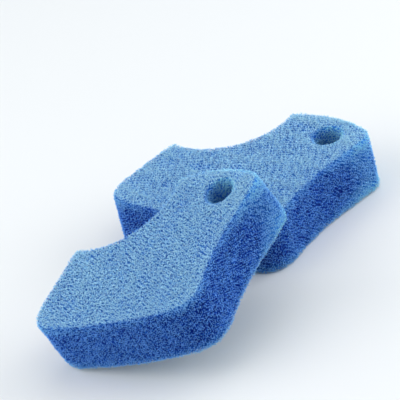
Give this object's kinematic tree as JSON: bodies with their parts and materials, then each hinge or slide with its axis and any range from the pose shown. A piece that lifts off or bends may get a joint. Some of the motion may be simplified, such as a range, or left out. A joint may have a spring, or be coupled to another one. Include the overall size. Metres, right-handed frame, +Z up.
{
  "type": "sponge filter",
  "caption": "Open-cell foam filter pads with a boomerang outline, a hollowed inner edge and a round pipe hole; a leaning pad is propped on a flat pad.",
  "frame": {"origin": "middle of the pair's footprint, on the floor", "axes": "+X along the chord of the flat pad's inner arc, from its tail end to its head end; +Z up"},
  "size_m": [0.281, 0.2576, 0.1133],
  "materials": {
    "blue_foam": "matte"
  },
  "bodies": {
    "flat_pad": {"flat_pad": "blue_foam"},
    "leaning_pad": {"leaning_pad": "blue_foam"}
  },
  "joints": [
    {"name": "leaning_pad_lift", "type": "slide", "parent": "flat_pad", "child": "leaning_pad", "axis": [0, 0, 1], "range_m": [0, 0.15]}
  ]
}
